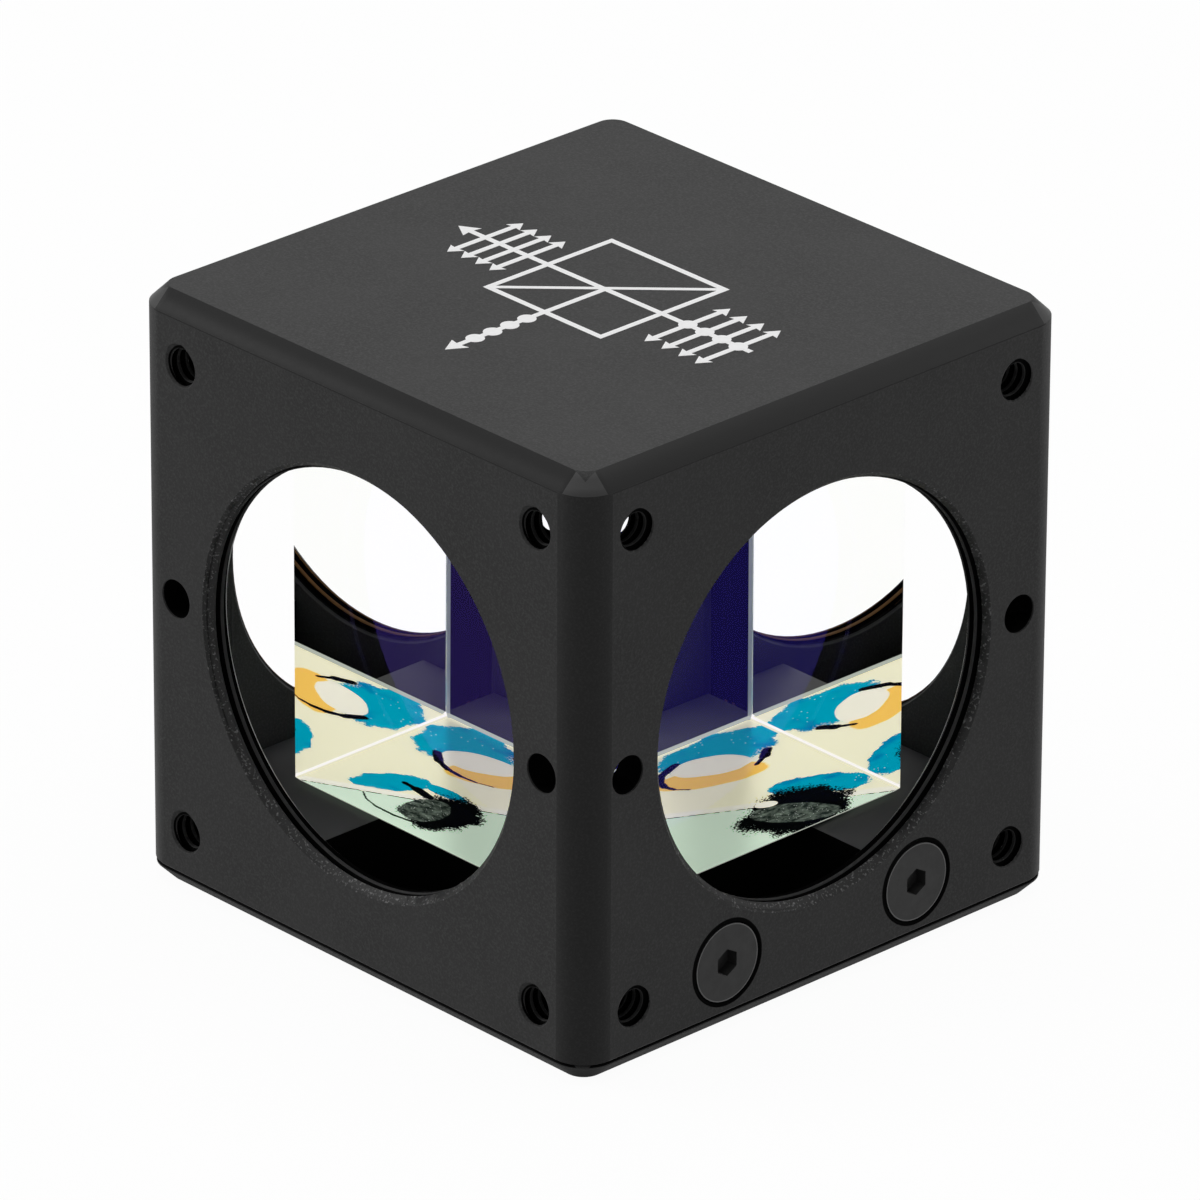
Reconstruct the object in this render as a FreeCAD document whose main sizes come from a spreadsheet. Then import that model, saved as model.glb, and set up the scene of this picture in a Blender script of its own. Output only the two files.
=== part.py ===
import FreeCAD, Part
import Sketcher
import os
import re

# A 30 mm optical cage cube that carries a cemented 25.4 mm beamsplitter cube.
# Millimetres. The origin is where the four port axes cross, with +Z up.
# +X is the input face, with the two clamp screws. -Y is the face of the reflected beam.

doc = FreeCAD.newDocument("cage_cube")
sheet = doc.addObject("Spreadsheet::Sheet", "sizes")

# Driving sizes first, then the levels and reaches that follow from them
SIZES = [
    ("corner_radius", "2.2"),
    ("top_bevel", "1.1"),
    ("lower_break", "0.12"),
    ("plate_thickness", "1.22"),
    ("plate_inset", "0.05"),
    ("plate_bevel", "1"),
    ("plate_break", "0.12"),
    ("top_wall", "3.75"),
    ("port_wall", "1.75"),
    ("port_glass_gap", "0.15"),
    ("port_thread_depth", "0.3"),
    ("port_mouth_bevel", "0.45"),
    ("glass_size", "25.4"),
    ("glass_bevel", "0.2"),
    ("glass_corner_bevel", "0.45"),
    ("rod_edge_distance", "4.05"),
    ("rod_hole_radius", "1.05"),
    ("rod_hole_depth", "4.6"),
    ("rod_hole_bevel", "0.25"),
    ("side_hole_edge_distance", "3.45"),
    ("side_hole_radius", "1.2"),
    ("side_hole_depth", "5"),
    ("cavity_corner_radius", "4"),
    ("block_clearance", "0.15"),
    ("block_ledge", "0.85"),
    ("notch_wall", "0.62"),
    ("notch_reach", "7.4"),
    ("notch_radius", "2"),
    ("glue_thickness", "0.25"),
    ("glue_dot_inset", "6.4"),
    ("glue_dot_radius", "3.4"),
    ("post_hole_radius", "1.75"),
    ("post_hole_depth", "5"),
    ("post_hole_bevel", "0.4"),
    ("screw_inset", "5.1"),
    ("screw_cover", "0.46"),
    ("screw_recess", "0.05"),
    ("screw_head_radius", "2.42"),
    ("screw_head_land", "0.15"),
    ("screw_shank_radius", "1.25"),
    ("screw_length", "6.5"),
    ("screw_tip_bevel", "0.3"),
    ("seat_wall", "0.47"),
    ("seat_radius_gap", "0.25"),
    ("screw_hole_gap", "0.15"),
    ("screw_thread_gap", "0.03"),
    ("screw_tip_room", "0.6"),
    ("socket_width", "1.5"),
    ("socket_depth", "0.75"),
    ("half_glass", "=glass_size / 2"),
    ("seat_mouth_radius", "=screw_head_radius + seat_radius_gap"),
    ("seat_hole_radius", "=screw_shank_radius + screw_hole_gap"),
    ("tapped_radius", "=screw_shank_radius + screw_thread_gap"),
    ("block_height", "=seat_wall + seat_mouth_radius + tapped_radius + screw_cover"),
    ("block_top", "=-half_glass - glue_thickness"),
    ("seam_level", "=block_top - block_height"),
    ("half_cube", "=plate_thickness - seam_level"),
    ("port_radius", "=half_glass + port_glass_gap"),
    ("cavity_top", "=half_cube - top_wall"),
    ("cavity_reach", "=half_cube - port_wall"),
    ("rod_spacing", "=2 * (half_cube - rod_edge_distance)"),
    ("side_hole_spacing", "=2 * (half_cube - side_hole_edge_distance)"),
    ("block_reach", "=cavity_reach - block_clearance"),
    ("block_half_width", "=half_glass + block_ledge"),
    ("plate_reach", "=half_cube - plate_inset"),
    ("notch_end", "=block_reach - notch_reach"),
    ("screw_spacing", "=2 * (half_glass - screw_inset)"),
    ("notch_width", "=screw_spacing - 2 * (tapped_radius + notch_wall)"),
    ("screw_level", "=block_top - screw_cover - tapped_radius"),
    ("screw_face", "=half_cube - screw_recess"),
    ("screw_tip", "=screw_face - screw_length"),
    ("head_cone_base", "=screw_face - screw_head_land"),
    ("head_cone_end", "=head_cone_base - screw_head_radius + screw_shank_radius"),
    ("seat_cone_base", "=head_cone_base + seat_radius_gap"),
    ("seat_cone_end", "=seat_cone_base - seat_mouth_radius + seat_hole_radius"),
]
ALIASES = {alias for alias, _ in SIZES}
for row, (alias, content) in enumerate(SIZES, start=1):
    sheet.set(f"A{row}", alias)
    sheet.set(f"B{row}", content)
    sheet.setAlias(f"B{row}", alias)
doc.recompute()

# How far a cut starts outside the solid, and how close two places count as one
OUTSIDE = 2
CLOSE = 0.01


def from_sheet(formula):
    """A formula whose size names are looked up in the sheet."""
    def look_up(word):
        return "sizes." + word.group() if word.group() in ALIASES else word.group()
    return re.sub(r"[a-z_]+", look_up, formula)


def value(formula):
    """The present value of a formula, as a plain number."""
    return float(sheet.evalExpression(from_sheet(formula)))


def bind(item, field, formula):
    item.setExpression(field, from_sheet(formula))


def origin_part(body, role):
    """One of the body's own origin planes or axes."""
    return next(item for item in body.Origin.OriginFeatures if item.Role == role)


def new_body(label):
    body = doc.addObject("PartDesign::Body", label)
    body.Label = label
    body.Placement = FreeCAD.Placement()
    return body


def new_sketch(body, name, plane, level="0"):
    """A sketch on an origin plane of its body, moved along that plane's normal."""
    sketch = body.newObject("Sketcher::SketchObject", name)
    sketch.AttachmentSupport = (origin_part(body, plane), [""])
    sketch.MapMode = "FlatFace"
    bind(sketch, "AttachmentOffset.Base.z", level)
    return sketch


def hold(sketch, kind, geometry, vertex, formula):
    """Holds a point of the sketch at a distance from the sketch's origin."""
    place = Sketcher.Constraint(kind, -1, 1, geometry, vertex, value(formula))
    bind(sketch, f"Constraints[{sketch.addConstraint(place)}]", formula)


def draw_outline(sketch, corners):
    """A closed outline of straight lines, each corner given by two formulas."""
    first = sketch.GeometryCount
    count = len(corners)
    spots = [FreeCAD.Vector(value(across), value(up), 0) for across, up in corners]
    for index in range(count):
        line = Part.LineSegment(spots[index], spots[(index + 1) % count])
        sketch.addGeometry(line, False)
    for index, (across, up) in enumerate(corners):
        before = first + (index - 1) % count
        sketch.addConstraint(Sketcher.Constraint("Coincident", before, 2, first + index, 1))
        hold(sketch, "DistanceX", first + index, 1, across)
        hold(sketch, "DistanceY", first + index, 1, up)


def draw_circle(sketch, across, up, radius):
    centre = FreeCAD.Vector(value(across), value(up), 0)
    ring = Part.Circle(centre, FreeCAD.Vector(0, 0, 1), value(radius))
    index = sketch.addGeometry(ring, False)
    hold(sketch, "DistanceX", index, 3, across)
    hold(sketch, "DistanceY", index, 3, up)
    size = Sketcher.Constraint("Radius", index, value(radius))
    bind(sketch, f"Constraints[{sketch.addConstraint(size)}]", radius)


def box_corners(left, right, low, high):
    return [(left, low), (right, low), (right, high), (left, high)]


def cross_corners(reach, width):
    """The outline of an upright cross: its arms' reach and half width."""
    return [
        (f"-{width}", f"-{reach}"), (width, f"-{reach}"), (width, f"-{width}"),
        (reach, f"-{width}"), (reach, width), (width, width),
        (width, reach), (f"-{width}", reach), (f"-{width}", width),
        (f"-{reach}", width), (f"-{reach}", f"-{width}"), (f"-{width}", f"-{width}"),
    ]


def pad(body, sketch, name, length):
    feature = body.newObject("PartDesign::Pad", name)
    feature.Profile = sketch
    bind(feature, "Length", length)
    doc.recompute()
    return feature


def pocket(body, sketch, name, length, upward=False):
    """A cut that runs against the sketch's normal, or along it where upward is set."""
    before = body.Shape.Volume
    feature = body.newObject("PartDesign::Pocket", name)
    feature.Profile = sketch
    feature.Reversed = upward
    bind(feature, "Length", length)
    doc.recompute()
    must_cut(body, feature, before)
    return feature


def groove(body, sketch, name):
    """A turned cut about the sketch's own level line."""
    before = body.Shape.Volume
    feature = body.newObject("PartDesign::Groove", name)
    feature.Profile = sketch
    feature.ReferenceAxis = (sketch, ["H_Axis"])
    feature.Angle = 360
    doc.recompute()
    must_cut(body, feature, before)
    return feature


def must_cut(body, feature, before):
    if not body.Shape.Volume < before:
        raise RuntimeError(f"{body.Label}: {feature.Name} removes nothing")


def repeat_round(body, features, name):
    """Repeats features on the four sides of the cube."""
    pattern = body.newObject("PartDesign::PolarPattern", name)
    pattern.Originals = features
    pattern.Axis = (origin_part(body, "Z_Axis"), [""])
    pattern.Angle = 360
    pattern.Occurrences = 4
    body.Tip = pattern
    doc.recompute()
    return pattern


def mirror_sideways(body, features, name):
    """Repeats features on the other side of the XZ plane."""
    pattern = body.newObject("PartDesign::Mirrored", name)
    pattern.Originals = features
    pattern.MirrorPlane = (origin_part(body, "XZ_Plane"), [""])
    body.Tip = pattern
    doc.recompute()
    return pattern


def edge_names(body, wanted):
    """The names of the body's edges for which wanted is true."""
    edges = body.Shape.Edges
    return [f"Edge{number}" for number, edge in enumerate(edges, start=1) if wanted(edge)]


def dress(body, kind, name, wanted, size):
    """A fillet or chamfer on the chosen edges of the body as it stands."""
    names = edge_names(body, wanted)
    if not names:
        raise RuntimeError(f"{body.Label}: {name} finds no edge")
    base = body.Tip
    feature = body.newObject("PartDesign::" + kind, name)
    feature.Base = (base, names)
    bind(feature, "Radius" if kind == "Fillet" else "Size", size)
    doc.recompute()
    return feature


def same(one, other):
    return abs(one - other) < CLOSE


def upright(edge):
    box = edge.BoundBox
    return same(box.XMin, box.XMax) and same(box.YMin, box.YMax) and not same(box.ZMin, box.ZMax)


def at_level(edge, level):
    box = edge.BoundBox
    return same(box.ZMin, level) and same(box.ZMax, level)


def is_ring(edge, radius, reach):
    """A circle of this radius on one of the four sides, this far from the middle."""
    if not isinstance(edge.Curve, Part.Circle) or not same(edge.Curve.Radius, radius):
        return False
    centre = edge.Curve.Center
    along = edge.Curve.Axis
    return same(abs(centre.dot(along)), reach) and same(along.z, 0)


# The housing: one machined body, open below, with a threaded port on each side
housing = new_body("housing")
body_outline = new_sketch(housing, "body_outline", "XY_Plane", "seam_level")
draw_outline(body_outline, box_corners("-half_cube", "half_cube", "-half_cube", "half_cube"))
pad(housing, body_outline, "body_block", "half_cube - seam_level")
dress(housing, "Fillet", "upright_corners", upright, "corner_radius")
top_level = value("half_cube")
seam = value("seam_level")
dress(housing, "Chamfer", "top_edges", lambda edge: at_level(edge, top_level), "top_bevel")
dress(housing, "Chamfer", "lower_edges", lambda edge: at_level(edge, seam), "lower_break")

# The cavity is milled from below and leaves a thin wall with a port in it on each side
cavity_outline = new_sketch(housing, "cavity_outline", "XY_Plane", "seam_level")
draw_outline(cavity_outline, box_corners("-cavity_reach", "cavity_reach",
                                         "-cavity_reach", "cavity_reach"))
pocket(housing, cavity_outline, "cavity", "cavity_top - seam_level", upward=True)
inner_face = value("cavity_reach")
dress(housing, "Fillet", "cavity_corners",
      lambda edge: upright(edge) and same(abs(edge.BoundBox.XMin), inner_face)
      and same(abs(edge.BoundBox.YMin), inner_face), "cavity_corner_radius")

port_circle = new_sketch(housing, "port_circle", "YZ_Plane", "half_cube")
draw_circle(port_circle, "0", "0", "port_radius")
port = pocket(housing, port_circle, "port", "half_cube - half_glass")

rod_circles = new_sketch(housing, "rod_circles", "YZ_Plane", "half_cube")
for side in ("-rod_spacing / 2", "rod_spacing / 2"):
    for level in ("-rod_spacing / 2", "rod_spacing / 2"):
        draw_circle(rod_circles, side, level, "rod_hole_radius")
rod_holes = pocket(housing, rod_circles, "rod_holes", "rod_hole_depth")

side_circles = new_sketch(housing, "side_circles", "YZ_Plane", "half_cube")
for side in ("-side_hole_spacing / 2", "side_hole_spacing / 2"):
    draw_circle(side_circles, side, "0", "side_hole_radius")
side_holes = pocket(housing, side_circles, "side_holes", "side_hole_depth")

repeat_round(housing, [port, rod_holes, side_holes], "four_sides")

outer_face = value("half_cube")
port_ring = value("port_radius")
rod_ring = value("rod_hole_radius")
dress(housing, "Chamfer", "port_mouths", lambda edge: is_ring(edge, port_ring, outer_face),
      "port_mouth_bevel")
dress(housing, "Chamfer", "port_inner_edges", lambda edge: is_ring(edge, port_ring, inner_face),
      "port_thread_depth")
dress(housing, "Chamfer", "rod_hole_mouths", lambda edge: is_ring(edge, rod_ring, outer_face),
      "rod_hole_bevel")

# Each screw seat is turned about the screw's own axis: a mouth, a cone and a clearance hole
seat_profile = new_sketch(housing, "seat_profile", "XZ_Plane", "-screw_spacing / 2")
bind(seat_profile, "AttachmentOffset.Base.y", "screw_level")
draw_outline(seat_profile, [
    ("cavity_reach - block_clearance", "0"),
    (f"half_cube + {OUTSIDE}", "0"),
    (f"half_cube + {OUTSIDE}", "seat_mouth_radius"),
    ("seat_cone_base", "seat_mouth_radius"),
    ("seat_cone_end", "seat_hole_radius"),
    ("cavity_reach - block_clearance", "seat_hole_radius"),
])
screw_seat = groove(housing, seat_profile, "screw_seat")
mirror_sideways(housing, [screw_seat], "screw_seats")

# The base plate closes the housing, and its raised block carries the glass
base_plate = new_body("base_plate")
plate_outline = new_sketch(base_plate, "plate_outline", "XY_Plane", "-half_cube")
draw_outline(plate_outline, box_corners("-plate_reach", "plate_reach", "-plate_reach", "plate_reach"))
pad(base_plate, plate_outline, "plate", "plate_thickness")
dress(base_plate, "Fillet", "plate_corners", upright, "corner_radius - plate_inset")
bottom_level = value("-half_cube")
dress(base_plate, "Chamfer", "plate_lower_edges", lambda edge: at_level(edge, bottom_level),
      "plate_bevel")
dress(base_plate, "Chamfer", "plate_upper_edges", lambda edge: at_level(edge, seam),
      "plate_break")

# The block is a cross in plan, which leaves room at its corners for the ends of the cage rods
block_outline = new_sketch(base_plate, "block_outline", "XY_Plane", "seam_level")
draw_outline(block_outline, cross_corners("block_reach", "block_half_width"))
pad(base_plate, block_outline, "block", "block_top - seam_level")

notch_outline = new_sketch(base_plate, "notch_outline", "XY_Plane", "block_top")
draw_outline(notch_outline, box_corners("notch_end", f"block_reach + {OUTSIDE}",
                                        "-notch_width / 2", "notch_width / 2"))
notch = pocket(base_plate, notch_outline, "notch", "block_top - seam_level")
repeat_round(base_plate, [notch], "notches")


def notch_corner(edge):
    """An upright edge at the blind end of a notch."""
    place = edge.BoundBox.Center
    near = min(abs(place.x), abs(place.y))
    far = max(abs(place.x), abs(place.y))
    return upright(edge) and same(near, value("notch_width / 2")) and same(far, value("notch_end"))


dress(base_plate, "Fillet", "notch_corners", notch_corner, "notch_radius")

tapped_circles = new_sketch(base_plate, "tapped_circles", "YZ_Plane", "block_reach")
for side in ("-screw_spacing / 2", "screw_spacing / 2"):
    draw_circle(tapped_circles, side, "screw_level", "tapped_radius")
pocket(base_plate, tapped_circles, "tapped_holes", "block_reach - screw_tip + screw_tip_room")

post_circle = new_sketch(base_plate, "post_circle", "XY_Plane", "-half_cube")
draw_circle(post_circle, "0", "0", "post_hole_radius")
pocket(base_plate, post_circle, "post_hole", "post_hole_depth", upward=True)
dress(base_plate, "Chamfer", "post_hole_mouth",
      lambda edge: isinstance(edge.Curve, Part.Circle) and at_level(edge, bottom_level)
      and same(edge.Curve.Radius, value("post_hole_radius")), "post_hole_bevel")


def make_prism(label, side):
    """A right-angle prism of the cube. Its right angle is at x = side, y = -side."""
    prism = new_body(label)
    outline = new_sketch(prism, label + "_outline", "XY_Plane", "-half_glass")
    plus = "" if side > 0 else "-"
    minus = "-" if side > 0 else ""
    corners = [
        (f"{plus}half_glass", f"{plus}(half_glass - glass_corner_bevel)"),
        (f"{plus}half_glass", f"{minus}(half_glass - glass_bevel)"),
        (f"{plus}(half_glass - glass_bevel)", f"{minus}half_glass"),
        (f"{minus}(half_glass - glass_corner_bevel)", f"{minus}half_glass"),
        (f"{minus}(half_glass - glass_corner_bevel / 2)",
         f"{minus}(half_glass - glass_corner_bevel / 2)"),
        (f"{plus}(half_glass - glass_corner_bevel / 2)",
         f"{plus}(half_glass - glass_corner_bevel / 2)"),
    ]
    draw_outline(outline, corners)
    pad(prism, outline, label + "_block", "glass_size")
    face = value("half_glass")
    corner_bevel = value("glass_corner_bevel")

    def outer_rim(edge):
        """A top or bottom edge, apart from those at the long face."""
        place = edge.BoundBox.Center
        level = at_level(edge, face) or at_level(edge, -face)
        return level and side * (place.x - place.y) > corner_bevel

    dress(prism, "Chamfer", label + "_edges", outer_rim, "glass_bevel")
    return prism


# The beamsplitter is two right-angle prisms, cemented on their long faces at y = x
front_prism = make_prism("front_prism", 1)
rear_prism = make_prism("rear_prism", -1)

# The adhesive under the glass: four drops, pressed flat between the block and the prisms
DOTS = {
    "adhesive_dot_front": (1, -1),
    "adhesive_dot_rear": (-1, 1),
    "adhesive_dot_left": (-1, -1),
    "adhesive_dot_right": (1, 1),
}
dots = []
for label, (across, along) in DOTS.items():
    dot = new_body(label)
    ring = new_sketch(dot, label + "_ring", "XY_Plane", "block_top")
    draw_circle(ring, f"{across} * (half_glass - glue_dot_inset)",
                f"{along} * (half_glass - glue_dot_inset)", "glue_dot_radius")
    pad(dot, ring, label + "_disc", "glue_thickness")
    dots.append(dot)


def make_screw(label, side):
    """A countersunk screw with a hexagon socket, at this side of the port."""
    screw = new_body(label)
    profile = new_sketch(screw, label + "_profile", "XZ_Plane", f"{-side} * screw_spacing / 2")
    bind(profile, "AttachmentOffset.Base.y", "screw_level")
    draw_outline(profile, [
        ("screw_tip", "0"),
        ("screw_face", "0"),
        ("screw_face", "screw_head_radius"),
        ("head_cone_base", "screw_head_radius"),
        ("head_cone_end", "screw_shank_radius"),
        ("screw_tip + screw_tip_bevel", "screw_shank_radius"),
        ("screw_tip", "screw_shank_radius - screw_tip_bevel"),
    ])
    turned = screw.newObject("PartDesign::Revolution", label + "_form")
    turned.Profile = profile
    turned.ReferenceAxis = (profile, ["H_Axis"])
    turned.Angle = 360
    doc.recompute()
    socket = new_sketch(screw, label + "_socket", "YZ_Plane", "screw_face")
    across = f"{side} * screw_spacing / 2"
    half = "socket_width / 2"
    corner = "socket_width / sqrt(3)"
    draw_outline(socket, [
        (across, f"screw_level - {corner}"),
        (f"{across} + {half}", f"screw_level - {corner} / 2"),
        (f"{across} + {half}", f"screw_level + {corner} / 2"),
        (across, f"screw_level + {corner}"),
        (f"{across} - {half}", f"screw_level + {corner} / 2"),
        (f"{across} - {half}", f"screw_level - {corner} / 2"),
    ])
    pocket(screw, socket, label + "_hexagon", "socket_depth")
    return screw


left_screw = make_screw("clamp_screw_left", -1)
right_screw = make_screw("clamp_screw_right", 1)

# Every object must be sound before anything is written
doc.recompute()
for item in doc.Objects:
    if "Invalid" in item.State or "Error" in item.State:
        raise RuntimeError(f"{item.Name} did not build")

pieces = [housing, base_plate, front_prism, rear_prism, *dots, left_screw, right_screw]
os.makedirs("parts", exist_ok=True)
for piece in pieces:
    shape = piece.Shape
    if shape.isNull() or not shape.isValid() or len(shape.Solids) != 1:
        raise RuntimeError(f"{piece.Label} is not one sound solid")
for piece in pieces:
    piece.Shape.exportStep(f"parts/{piece.Label}.step")
    box = piece.Shape.BoundBox
    print(piece.Label, round(piece.Shape.Volume, 1), "mm3",
          [round(number, 2) for number in (box.XMin, box.XMax, box.YMin, box.YMax, box.ZMin, box.ZMax)])
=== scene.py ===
import bmesh
import bpy
import math
from mathutils import Matrix, Vector, noise


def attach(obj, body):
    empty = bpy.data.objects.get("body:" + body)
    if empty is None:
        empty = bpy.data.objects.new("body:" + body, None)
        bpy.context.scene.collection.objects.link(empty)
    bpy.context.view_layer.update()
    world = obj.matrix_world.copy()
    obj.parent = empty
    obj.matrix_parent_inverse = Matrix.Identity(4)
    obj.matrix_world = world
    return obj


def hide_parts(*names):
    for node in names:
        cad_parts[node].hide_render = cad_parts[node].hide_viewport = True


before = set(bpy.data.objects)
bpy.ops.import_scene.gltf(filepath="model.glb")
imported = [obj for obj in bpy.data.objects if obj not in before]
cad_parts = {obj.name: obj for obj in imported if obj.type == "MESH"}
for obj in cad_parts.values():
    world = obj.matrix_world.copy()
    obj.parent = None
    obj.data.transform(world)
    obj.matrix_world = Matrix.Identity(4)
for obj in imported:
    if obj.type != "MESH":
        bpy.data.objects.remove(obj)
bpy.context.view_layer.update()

MM = 0.001

# The cube's sizes in millimetres, and its levels from the point where the port axes cross
TOP = 19.05
TOP_BEVEL = 1.1
CORNER_RADIUS = 2.2
FOOT = -17.83
WALL_INSIDE = 17.3
CAVITY_TOP = 15.3
PORT_RADIUS = 12.85
PORT_ROOT = 13.17
PORT_MOUTH = 0.45
ROD_HOLE_PLACE = 15
ROD_HOLE_RADIUS = 1.05
ROD_HOLE_ROOT = 1.42
ROD_HOLE_END = 16.95
SIDE_HOLE_PLACE = 15.6
SIDE_HOLE_RADIUS = 1.2
THREAD_PITCH = 0.635
SEAT_RADIUS = 2.67
HEAD_RADIUS = 2.42
HEAD_FACE = 19.0
SCREW_ACROSS = 7.6
SCREW_LEVEL = -14.69
PLATE_BEVEL_TOP = -18.05
BLOCK_TOP = -12.95
GLUE_TOP = -12.705
HALF_GLASS = 12.7
GLASS_BEVEL = 0.2
CORNER_BEVEL = 0.3
GLASS_INDEX = 1.475


# Helpers

def grey(level):
    """The linear colour of a plain grey, given as it shows on a screen from 0 to 255."""
    return tint(level, level, level)


def tint(red, green, blue):
    """The linear colour of a screen colour from 0 to 255."""
    def linear(level):
        part = level / 255
        return part / 12.92 if part <= 0.04045 else ((part + 0.055) / 1.055) ** 2.4
    return (linear(red), linear(green), linear(blue), 1)


class Surface:
    """The node tree of a material or a world, built one node at a time."""

    def __init__(self, name, world=False):
        owners = bpy.data.worlds if world else bpy.data.materials
        self.owner = owners.new(name)
        self.owner.use_nodes = True
        self.tree = self.owner.node_tree
        self.tree.nodes.clear()
        self.output = self.add("OutputWorld" if world else "OutputMaterial")
        self.found = None

    @property
    def place(self):
        """The surface's point in millimetres."""
        if self.found is None:
            scaled = self.add("VectorMath", operation="SCALE")
            self.link(self.add("TexCoord").outputs["Object"], scaled.inputs[0])
            scaled.inputs["Scale"].default_value = 1000
            self.found = scaled.outputs[0]
        return self.found

    def parts(self):
        """The three coordinates of the surface's point."""
        return self.add("SeparateXYZ", {"Vector": self.place}).outputs

    def link(self, source, target):
        self.tree.links.new(source, target)

    def add(self, kind, inputs=None, **settings):
        node = self.tree.nodes.new("ShaderNode" + kind)
        for key, setting in settings.items():
            setattr(node, key, setting)
        for key, content in (inputs or {}).items():
            self.put(node.inputs[key], content)
        return node

    def put(self, socket, content):
        if isinstance(content, bpy.types.NodeSocket):
            self.link(content, socket)
        else:
            socket.default_value = content

    def math(self, operation, *values, clamp=False):
        node = self.add("Math", operation=operation, use_clamp=clamp)
        for index, content in enumerate(values):
            self.put(node.inputs[index], content)
        return node.outputs[0]

    def plus(self, first, second):
        return self.math("ADD", first, second)

    def minus(self, first, second):
        return self.math("SUBTRACT", first, second)

    def size(self, content):
        return self.math("ABSOLUTE", content)

    def above(self, content, level):
        return self.math("GREATER_THAN", content, level)

    def below(self, content, level):
        return self.math("LESS_THAN", content, level)

    def times(self, first, second):
        return self.math("MULTIPLY", first, second)

    def both(self, first, second):
        """The overlap of two masks."""
        return self.times(first, second)

    def either(self, first, second):
        """Two masks joined, or the greater of two numbers."""
        return self.math("MAXIMUM", first, second)

    def between(self, content, low, high):
        """1 between two levels, and 0 outside them."""
        return self.both(self.above(content, low), self.below(content, high))

    def distance(self, first, second):
        """The distance from an axis, given the two offsets from it."""
        return self.math("SQRT", self.plus(self.times(first, first), self.times(second, second)))

    def noise(self, scale, detail=2.0, roughness=0.5):
        node = self.add("TexNoise", {"Scale": scale, "Detail": detail, "Roughness": roughness})
        self.link(self.place, node.inputs["Vector"])
        return node.outputs["Fac"]

    def cells(self, scale):
        """The distance from the middle of the nearest of many scattered cells."""
        return self.add("TexVoronoi", {"Scale": scale, "Vector": self.place}).outputs["Distance"]

    def rise(self, content, low, high):
        """From 0 where content is at or below low to 1 where it is at or above high."""
        node = self.add("MapRange", {"From Min": low, "From Max": high})
        self.put(node.inputs["Value"], content)
        return node.outputs["Result"]

    def blend(self, factor, first, second):
        node = self.add("Mix", data_type="RGBA")
        self.put(node.inputs["Factor"], factor)
        self.put(node.inputs[6], first)
        self.put(node.inputs[7], second)
        return node.outputs[2]

    def bump(self, height, strength, distance):
        return self.add("Bump", {"Strength": strength, "Distance": distance, "Height": height}).outputs[0]

    def show(self, shader):
        self.link(shader, self.output.inputs["Surface"])
        return self.owner


def new_object(name, shell):
    """An object in the scene from a bmesh in millimetres."""
    mesh = bpy.data.meshes.new(name)
    for point in shell.verts:
        point.co *= MM
    shell.to_mesh(mesh)
    shell.free()
    piece = bpy.data.objects.new(name, mesh)
    bpy.context.scene.collection.objects.link(piece)
    return piece


def mesh_piece(name, shell, material):
    """A new piece from a bmesh in millimetres, which rides on the one body."""
    piece = new_object(name, shell)
    piece.data.materials.append(material)
    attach(piece, "root")
    return piece


def smooth(mesh, degrees=35):
    """Smooth shading with sharp edges kept. The outer planes keep their own exact normals."""
    mesh.shade_smooth()
    mesh.set_sharp_from_angle(angle=math.radians(degrees))
    limit = TOP * MM
    hair = 2e-6
    nearly_flat = 0.93
    chosen = []
    for face in mesh.polygons:
        points = [mesh.vertices[index].co for index in face.vertices]
        flat = [all(abs(abs(point[axis]) - limit) < hair for point in points) for axis in range(3)]
        for point in points:
            normal = Vector((0, 0, 0))
            for axis in range(3):
                on_plane = abs(abs(point[axis]) - limit) < hair
                if on_plane and (flat[axis] or abs(face.normal[axis]) > nearly_flat):
                    normal = Vector((0, 0, 0))
                    normal[axis] = math.copysign(1, point[axis])
            chosen.append(normal)
    mesh.normals_split_custom_set(chosen)


# Materials

# Each mask below reaches a little past the size that it follows, so that the whole surface falls inside it

def screw_radius(surface, y, z, shift=0):
    """The distance from the nearer clamp screw's axis, or from a line shifted up and aside from it."""
    axis = surface.times(surface.math("SIGN", y), SCREW_ACROSS)
    across = surface.plus(surface.minus(y, axis), shift)
    return surface.distance(across, surface.minus(z, SCREW_LEVEL + shift))


def anodised(skin, grain, dark, light):
    """Black anodising, a little cloudy and grained."""
    cloud = skin.noise(0.16)
    colour = skin.blend(skin.rise(cloud, 0.35, 0.65), grey(dark), grey(light))
    return skin.blend(skin.rise(grain, 0.45, 0.75), colour, grey(62))


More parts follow.
